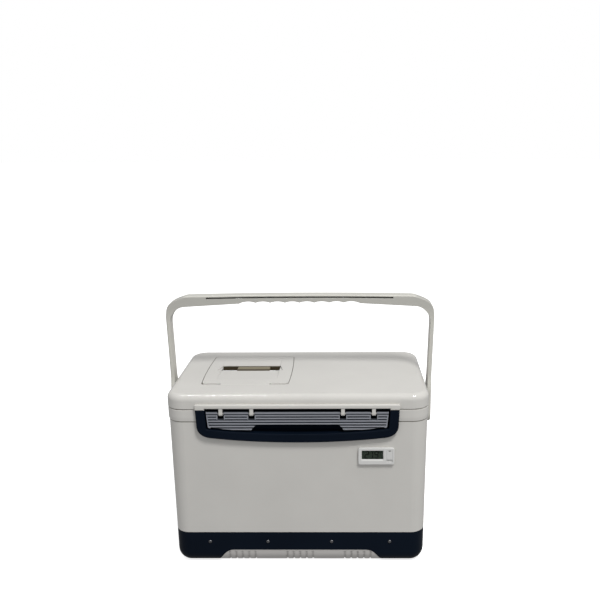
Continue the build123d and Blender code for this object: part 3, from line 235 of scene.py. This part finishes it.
def bare_metal(name, colour, rough=(0.22, 0.38)):
    """Plated steel with fine brushing and slight stains."""
    shader = Shader(name)
    shades = [scaled(colour, STAIN_SHADE), colour]
    stain = shader.noise(STAIN_SCALE, detail=5.0)
    shader.follow("Base Color", shader.ramp(stain, list(zip(STAIN_STOPS, shades))))
    brushing = shader.noise(BRUSH_SCALE, detail=2.0, stretch=BRUSH_STRETCH)
    shader.vary_roughness(brushing, rough)
    shader.relief(brushing, strength=0.1, depth=BRUSH_DEPTH)
    shader.fix("Metallic", 1.0)
    return shader.material


def rigid_foam(name, colour):
    """Poured foam with fine open cells."""
    shader = Shader(name)
    pattern = shader.add("ShaderNodeTexVoronoi", Scale=CELL_SCALE)
    shader.join(shader.place.outputs["Object"], pattern.inputs["Vector"])
    cells = pattern.outputs["Distance"]
    shades = [scaled(colour, CELL_SHADE), colour]
    shader.follow("Base Color", shader.ramp(cells, list(zip(CELL_STOPS, shades))))
    shader.fix("Roughness", 0.9)
    shader.relief(cells, strength=0.5, depth=CELL_DEPTH)
    return shader.material


def soft_rubber(name, colour):
    """Dull seal rubber with a dusty bloom."""
    shader = Shader(name)
    shades = [colour, scaled(colour, BLOOM_SHADE)]
    bloom = shader.noise(BLOOM_SCALE, detail=5.0)
    shader.follow("Base Color", shader.ramp(bloom, list(zip(BLOOM_STOPS, shades))))
    shader.fix("Roughness", 0.75)
    shader.relief(shader.noise(RUBBER_GRAIN_SCALE), strength=0.15, depth=RUBBER_GRAIN_DEPTH)
    return shader.material


def clear_window(name, colour, rough):
    """Clear plastic with faint smears."""
    shader = Shader(name)
    shader.fix("Base Color", opaque(colour))
    shader.fix("Alpha", WINDOW_ALPHA)
    shader.vary_roughness(shader.noise(SMEAR_SCALE, detail=4.0), rough)
    return shader.material


def display_layer(name, colour, tone, scale, detail):
    """A dull layer of the liquid crystal display."""
    shader = Shader(name)
    shader.follow("Base Color", shader.drifting(colour, tone, scale, detail))
    shader.fix("Roughness", 0.5)
    shader.fix("Specular IOR Level", 0.1)
    return shader.material


# ---------------------------------------------------------------- colours (linear)
IVORY = (0.640, 0.628, 0.600)
# The grime colours are both grime and painted shade in seams, hollows and recesses.
IVORY_GRIME_AND_SHADE = (0.26, 0.22, 0.14)
HANDLE_IVORY = (0.600, 0.592, 0.545)
HANDLE_GRIME_AND_SHADE = (0.045, 0.043, 0.027)
# Painted shade on the front face of the handle's grip, darker than its lit top.
HANDLE_FRONT_SHADE = (0.480, 0.474, 0.440)
NAVY = (0.0034, 0.0068, 0.0140)
LEVER_GREY = (0.270, 0.282, 0.318)
# Painted shade in the lever's grooves, and a painted groove shadow where the modelled lever has none.
LEVER_GROOVE_SHADE = (0.040, 0.045, 0.055)
LEVER_GRIME_AND_SHADE = (0.010, 0.011, 0.014)
RAIL_GREY = (0.520, 0.505, 0.490)
RAIL_GRIME_AND_SHADE = (0.12, 0.11, 0.10)
TAUPE = (0.215, 0.186, 0.118)
# Painted shadow at the front of the grip rocker, inside its slot.
TAUPE_PAINTED_SHADOW = (0.060, 0.045, 0.018)
CUP_BROWN = (0.060, 0.046, 0.024)
METER_WHITE = (0.700, 0.700, 0.690)
METER_GRIME_AND_SHADE = (0.10, 0.10, 0.07)
STEEL = (0.42, 0.42, 0.42)
SCREW_STEEL = (0.20, 0.20, 0.21)
FOAM = (0.80, 0.72, 0.46)
RUBBER = (0.02, 0.02, 0.022)
LINER_WHITE = (0.72, 0.73, 0.73)
# Painted shadow under the collar's lower edge.
COLLAR_SHADOW = (0.20, 0.19, 0.15)
WINDOW_TINT = (0.02, 0.025, 0.02)
SCREEN_GREEN = (0.036, 0.049, 0.037)
SEGMENT_DARK = (0.0015, 0.0020, 0.0024)


# ---------------------------------------------------------------- looks
def steps_from(level, steps):
    """Places at steps in millimetres from a level."""
    return [level + step * MM for step in steps]


lever_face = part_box("latch_lever")[0].y
rocker_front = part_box("grip_rocker")[0].y
door_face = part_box("battery_door")[0].y
collar_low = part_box("rim_collar")[0].z
lever_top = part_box("latch_lever")[1].z
handle_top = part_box("handle_bail")[1].z

# Heights of the painted shadow under the collar, the painted shade on the front of the handle's grip
# and the painted shadow of the lever's first groove, where the modelled lever has no groove: where
# each begins, is full, is still full and has ended.
COLLAR_SHADOW_BAND = steps_from(collar_low, (-1.6, -1.2, 0.4, 0.8))
GRIP_FRONT_SHADE_BAND = steps_from(handle_top, (-44, -20, -4.5, -3))
GROOVE_SHADOW_BAND = steps_from(lever_top, (-4.4, -4.0, -2.7, -2.3))
# Where a painted shade ramp changes from a piece's front to what lies further in: darker in the
# lever's grooves and the door's recesses, and on the grip rocker lighter behind the painted shadow at
# its front.
LEVER_GROOVE_SHADE_SPAN = steps_from(lever_face, (0.2, 1.3))
ROCKER_SHADOW_SPAN = steps_from(rocker_front, (5, 9))
DOOR_RECESS_SHADE_SPAN = steps_from(door_face, (0.15, 0.4))

# Each look with a grime colour gets grime and painted shade in its seams and hollows.
materials = {
    "ivory": moulded_plastic("ivory_plastic", IVORY, rough=(0.05, 0.09), grain=0.06,
                             grime_and_shade=IVORY_GRIME_AND_SHADE, grime_and_shade_start=0.66, edge=0.7 * MM),
    "hatch": moulded_plastic("hatch_plastic", IVORY, rough=(0.05, 0.09), grain=0.06,
                             grime_and_shade=IVORY_GRIME_AND_SHADE, grime_and_shade_start=0.30, edge=1.2 * MM),
    "shell": moulded_plastic("shell_plastic", IVORY, rough=(0.19, 0.29), grain=0.06,
                             # Painted shadow band under the collar.
                             grime_and_shade=IVORY_GRIME_AND_SHADE, grime_and_shade_start=0.70, shade_bands=[(COLLAR_SHADOW_BAND, COLLAR_SHADOW)]),
    "handle": moulded_plastic("handle_plastic", HANDLE_IVORY, rough=(0.26, 0.36), grain=0.08,
                              grime_and_shade=HANDLE_GRIME_AND_SHADE, grime_and_shade_reach=4 * MM, grime_and_shade_start=0.60, edge=1.2 * MM,
                              # Painted shade on the grip's front face.
                              shade_bands=[(GRIP_FRONT_SHADE_BAND, HANDLE_FRONT_SHADE)]),
    "navy": moulded_plastic("navy_plastic", NAVY, rough=(0.30, 0.42), grain=0.08, tone=0.12,
                            gloss=0.06, edge=0.8 * MM),
    "lever": moulded_plastic("lever_plastic", LEVER_GREY, rough=(0.36, 0.48), grain=0.08, tone=0.05,
                             gloss=0.3, grime_and_shade=LEVER_GRIME_AND_SHADE, grime_and_shade_reach=2 * MM, grime_and_shade_start=0.5,
                             # Painted shade in the grooves and a painted groove shadow.
                             depth_shade=LEVER_GROOVE_SHADE, depth_shade_span=LEVER_GROOVE_SHADE_SPAN,
                             shade_bands=[(GROOVE_SHADOW_BAND, LEVER_GROOVE_SHADE)]),
    "rail": moulded_plastic("rail_plastic", RAIL_GREY, rough=(0.40, 0.52), grain=0.10,
                            grime_and_shade=RAIL_GRIME_AND_SHADE, grime_and_shade_reach=2 * MM),
    # Painted shadow at the rocker's front, going over to its own taupe further back.
    "taupe": moulded_plastic("taupe_plastic", TAUPE_PAINTED_SHADOW, rough=(0.40, 0.55), grain=0.08, tone=0.05,
                             depth_shade=TAUPE, depth_shade_span=ROCKER_SHADOW_SPAN),
    "brown": moulded_plastic("brown_plastic", CUP_BROWN, rough=(0.40, 0.55), grain=0.10, tone=0.10),
    "meter": moulded_plastic("meter_plastic", METER_WHITE, rough=(0.22, 0.30), grain=0.04,
                             grime_and_shade=METER_GRIME_AND_SHADE, grime_and_shade_reach=1.2 * MM, grime_and_shade_start=0.55, edge=0.4 * MM),
    "door": moulded_plastic("door_plastic", METER_WHITE, rough=(0.22, 0.30), grain=0.04,
                            grime_and_shade=METER_GRIME_AND_SHADE, grime_and_shade_reach=1.2 * MM, grime_and_shade_start=0.55, edge=0.3 * MM,
                            # Painted shade in the door's notch and recesses.
                            depth_shade=METER_GRIME_AND_SHADE, depth_shade_span=DOOR_RECESS_SHADE_SPAN),
    "liner": moulded_plastic("liner_plastic", LINER_WHITE, rough=(0.30, 0.42), grain=0.06),
    "steel": bare_metal("plated_steel", STEEL),
    "screw": bare_metal("screw_steel", SCREW_STEEL, rough=(0.35, 0.50)),
    "foam": rigid_foam("rigid_foam", FOAM),
    "rubber": soft_rubber("seal_rubber", RUBBER),
    "window": clear_window("clear_window", WINDOW_TINT, rough=(0.02, 0.10)),
    "screen": display_layer("lcd_panel", SCREEN_GREEN, tone=0.15, scale=220.0, detail=3.0),
    "segment": display_layer("lcd_segments", SEGMENT_DARK, tone=0.2, scale=300.0, detail=2.0),
}

NODE_LOOKS = {
    "shell": ["outer_shell"],
    "hatch": ["hatch_cover"],
    "ivory": ["rim_collar", "lid_shell", "handle_pivot_pin_left",
              "handle_pivot_pin_right", "pivot_washer_left", "pivot_washer_right"],
    "handle": ["handle_bail"],
    "navy": ["base_skirt", "latch_frame"],
    "lever": ["latch_lever"],
    "rail": ["foot_rail_front", "foot_rail_rear"],
    "taupe": ["grip_rocker"],
    "brown": ["grip_cup"],
    "meter": ["thermometer_bezel", "thermometer_module"],
    "door": ["battery_door"],
    "liner": ["inner_liner", "lid_liner", "hatch_liner"],
    "screw": ["base_screws"],
    "steel": ["lid_hinge_pin_left", "lid_hinge_pin_right", "latch_lever_pin", "hatch_pin_left",
              "hatch_pin_right", "grip_axle", "button_cell", "sensor_probe"],
    "foam": ["foam_core", "lid_foam", "hatch_foam"],
    "rubber": ["lid_gasket", "hatch_gasket", "sensor_sleeve"],
    "window": ["thermometer_lens"],
    "screen": ["thermometer_display"],
}
for look, names in NODE_LOOKS.items():
    for node_name in names:
        mesh = nodes[node_name].data
        mesh.materials.clear()
        mesh.materials.append(materials[look])


# ---------------------------------------------------------------- display digits
# Each figure's bars go by the usual letters of a seven-segment figure, and each bar runs between
# two corners, top, middle or bottom and left or right.
LIT_BARS = {"2": "abged", "1": "bc", "9": "abcdfg", "C": "adef"}
BAR_ENDS = {"a": ("tl", "tr"), "b": ("mr", "tr"), "c": ("br", "mr"), "d": ("bl", "br"),
            "e": ("bl", "ml"), "f": ("ml", "tl"), "g": ("ml", "mr")}
# How far a figure's top leans to the right, as a share of its height.
LEAN = 0.05
# How far the layer stands out of the display's face and reaches into it.
INK_RISE = 0.02 * MM
INK_SINK = 0.05 * MM
# Places are from the display's lower left corner, inside its border.
DISPLAY_BORDER = 1.0 * MM
FIGURE_LEFTS = (("2", 4.3 * MM), ("1", 10.3 * MM), ("9", 18.3 * MM))
FIGURE_FOOT = 1.0 * MM
FIGURE_SIZE = (4.7 * MM, 10.4 * MM)
FIGURE_BAR = 1.3 * MM
UNIT_AT = (26.3 * MM, 5.6 * MM)
UNIT_SIZE = (1.7 * MM, 3.4 * MM)
UNIT_BAR = 0.5 * MM
# A dot is a short bar: its left and right ends, its height and its thickness.
DECIMAL_POINT = (16.4 * MM, 17.6 * MM, 1.0 * MM, 1.2 * MM)
DEGREE_SIGN = (24.8 * MM, 25.7 * MM, 9.0 * MM, 0.9 * MM)


def segment_bar(start, end, width):
    """The six corners of one display segment: a bar with pointed ends, between two (x, z) points."""
    start, end = Vector(start), Vector(end)
    along = (end - start).normalized()
    across = Vector((-along.y, along.x)) * width / 2
    first, last = start + along * width / 2, end - along * width / 2
    return [start, first - across, last - across, end, last + across, first + across]


def digit_bars(figure, left, low, size, width):
    """The bars of one seven-segment figure."""
    across, tall = size
    right, middle, top = left + across, low + tall / 2, low + tall
    lean = LEAN * tall
    corners = {"tl": (left + lean, top), "tr": (right + lean, top), "ml": (left + lean / 2, middle),
               "mr": (right + lean / 2, middle), "bl": (left, low), "br": (right, low)}
    ends = [BAR_ENDS[letter] for letter in LIT_BARS[figure]]
    return [segment_bar(corners[start], corners[end], width) for start, end in ends]


def thin_layer(name, outlines, front, back):
    """A mesh of flat prisms between two places on the Y axis, one over each (x, z) outline."""
    points, faces = [], []
    for outline in outlines:
        start = len(points)
        count = len(outline)
        for y in (front, back):
            points += [(corner.x, y, corner.y) for corner in outline]
        faces.append([start + index for index in range(count)])
        faces.append([start + count + index for index in reversed(range(count))])
        for index in range(count):
            after = (index + 1) % count
            faces.append([start + after, start + index, start + count + index, start + count + after])
    mesh = bpy.data.meshes.new(name)
    mesh.from_pydata(points, [], faces)
    return mesh


def make_display_digits():
    """The reading on the display, a thin layer on its face."""
    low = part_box("thermometer_display")[0]
    left, floor = low.x + DISPLAY_BORDER, low.z + DISPLAY_BORDER
    bars = []
    for figure, x in FIGURE_LEFTS:
        bars += digit_bars(figure, left + x, floor + FIGURE_FOOT, FIGURE_SIZE, FIGURE_BAR)
    bars += digit_bars("C", left + UNIT_AT[0], floor + UNIT_AT[1], UNIT_SIZE, UNIT_BAR)
    for x0, x1, z, width in (DECIMAL_POINT, DEGREE_SIGN):
        bars.append(segment_bar((left + x0, floor + z), (left + x1, floor + z), width))
    mesh = thin_layer("display_digits", bars, low.y - INK_RISE, low.y + INK_SINK)
    mesh.materials.append(materials["segment"])
    digits = bpy.data.objects.new("display_digits", mesh)
    bpy.context.scene.collection.objects.link(digits)
    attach(digits, "body")


make_display_digits()


# ---------------------------------------------------------------- camera
# YAW, PITCH and ROLL are in radians.
FOCAL_MM = 42.687
SENSOR_MM = 36.0
SHIFT_X = -0.0534
CAMERA_AT = Vector((63.755, -1063.011, 622.398)) * MM
YAW = 0.0136
PITCH = 0.2209
ROLL = -0.0071
NEAR_CLIP = 0.01


def make_camera():
    """The camera, tipped down by PITCH, turned by YAW and rolled about its own view by ROLL."""
    turn = Matrix.Rotation(YAW, 3, "Z")
    forward = turn @ Vector((0, math.cos(PITCH), -math.sin(PITCH)))
    side = turn @ Vector((1, 0, 0))
    above = side.cross(forward)
    right = math.cos(ROLL) * side + math.sin(ROLL) * above
    up = -math.sin(ROLL) * side + math.cos(ROLL) * above
    data = bpy.data.cameras.new("camera")
    data.lens = FOCAL_MM
    data.sensor_width = SENSOR_MM
    data.sensor_fit = "HORIZONTAL"
    data.shift_x = SHIFT_X
    data.clip_start = NEAR_CLIP
    camera = bpy.data.objects.new("camera", data)
    camera.matrix_world = Matrix((
        (right.x, up.x, -forward.x, CAMERA_AT.x),
        (right.y, up.y, -forward.y, CAMERA_AT.y),
        (right.z, up.z, -forward.z, CAMERA_AT.z),
        (0, 0, 0, 1),
    ))
    bpy.context.scene.collection.objects.link(camera)
    bpy.context.scene.camera = camera


make_camera()


# ---------------------------------------------------------------- light and floor
WHITE = (1.0, 1.0, 1.0)
# Brightness of the room from straight below, at 0, to straight above, at 1.
SKY = ((0.0, 0.40), (0.46, 0.40), (0.54, 0.46), (1.0, 0.60))
FLOOR_HALF = 20.0
FLOOR_GREY = (0.86, 0.86, 0.86)
FLOOR_GLOW = 0.78
KEY_TARGET = Vector((0.0, 0.0, 0.2))
KEY_DIRECTION = Vector((42, -71, 121)).normalized()
KEY_DISTANCE = 2.4
KEY_SIZE = (0.5, 0.5)
KEY_WATTS = 35.0
KEY_COLOUR = (1.0, 0.995, 0.98)
STREAK_AT = (-0.46, -0.06, 2.45)
STREAK_TARGET = (-0.46, -0.10, 0.26)
STREAK_SIZE = (0.66, 0.05)
STREAK_WATTS = 12.0


def area_light(name, place, target, size, power, colour=WHITE):
    """A rectangular lamp that points at a target."""
    data = bpy.data.lights.new(name, "AREA")
    data.shape = "RECTANGLE"
    data.size, data.size_y = size
    data.energy = power
    data.color = colour
    light = bpy.data.objects.new(name, data)
    light.location = place
    light.rotation_euler = (Vector(target) - Vector(place)).to_track_quat("-Z", "Y").to_euler()
    bpy.context.scene.collection.objects.link(light)
    return light


def make_lights():
    """A main lamp high at the front right, and a long one that is seen only as a streak on gloss."""
    key_at = KEY_TARGET + KEY_DIRECTION * KEY_DISTANCE
    area_light("key", key_at, KEY_TARGET, KEY_SIZE, KEY_WATTS, KEY_COLOUR)
    streak = area_light("streak", STREAK_AT, STREAK_TARGET, STREAK_SIZE, STREAK_WATTS)
    streak.visible_diffuse = False


def make_world():
    """Soft light that is strongest overhead; the room itself is seen as plain white."""
    world = bpy.data.worlds.new("studio")
    tree = NodeTree(world)
    height = tree.span(tree.axis("Generated", "Z"), (-1.0, 1.0))
    glow = tree.add("ShaderNodeBackground")
    greys = [(position, scaled(WHITE, level)) for position, level in SKY]
    tree.join(tree.ramp(height, greys), glow.inputs["Color"])
    seen = tree.add("ShaderNodeBackground", Color=opaque(WHITE))
    ray = tree.add("ShaderNodeLightPath")
    choose = tree.add("ShaderNodeMixShader")
    tree.join(ray.outputs["Is Camera Ray"], choose.inputs["Fac"])
    tree.join(glow.outputs["Background"], choose.inputs[1])
    tree.join(seen.outputs["Background"], choose.inputs[2])
    output = tree.add("ShaderNodeOutputWorld")
    tree.join(choose.outputs["Shader"], output.inputs["Surface"])
    bpy.context.scene.world = world


def make_floor():
    """A wide pale table top, bright enough to fade into the room."""
    half = FLOOR_HALF
    corners = [(-half, -half, 0), (half, -half, 0), (half, half, 0), (-half, half, 0)]
    mesh = bpy.data.meshes.new("floor")
    mesh.from_pydata(corners, [], [(0, 1, 2, 3)])
    floor = bpy.data.objects.new("floor", mesh)
    bpy.context.scene.collection.objects.link(floor)
    floor.visible_diffuse = False
    floor.visible_glossy = False
    shader = Shader("pale_floor")
    shader.fix("Base Color", opaque(FLOOR_GREY))
    shader.fix("Roughness", 0.8)
    shader.fix("Specular IOR Level", 0.0)
    shader.fix("Emission Color", opaque(WHITE))
    shader.fix("Emission Strength", FLOOR_GLOW)
    mesh.materials.append(shader.material)


make_world()
make_floor()
make_lights()
bpy.context.scene.view_settings.view_transform = "Standard"
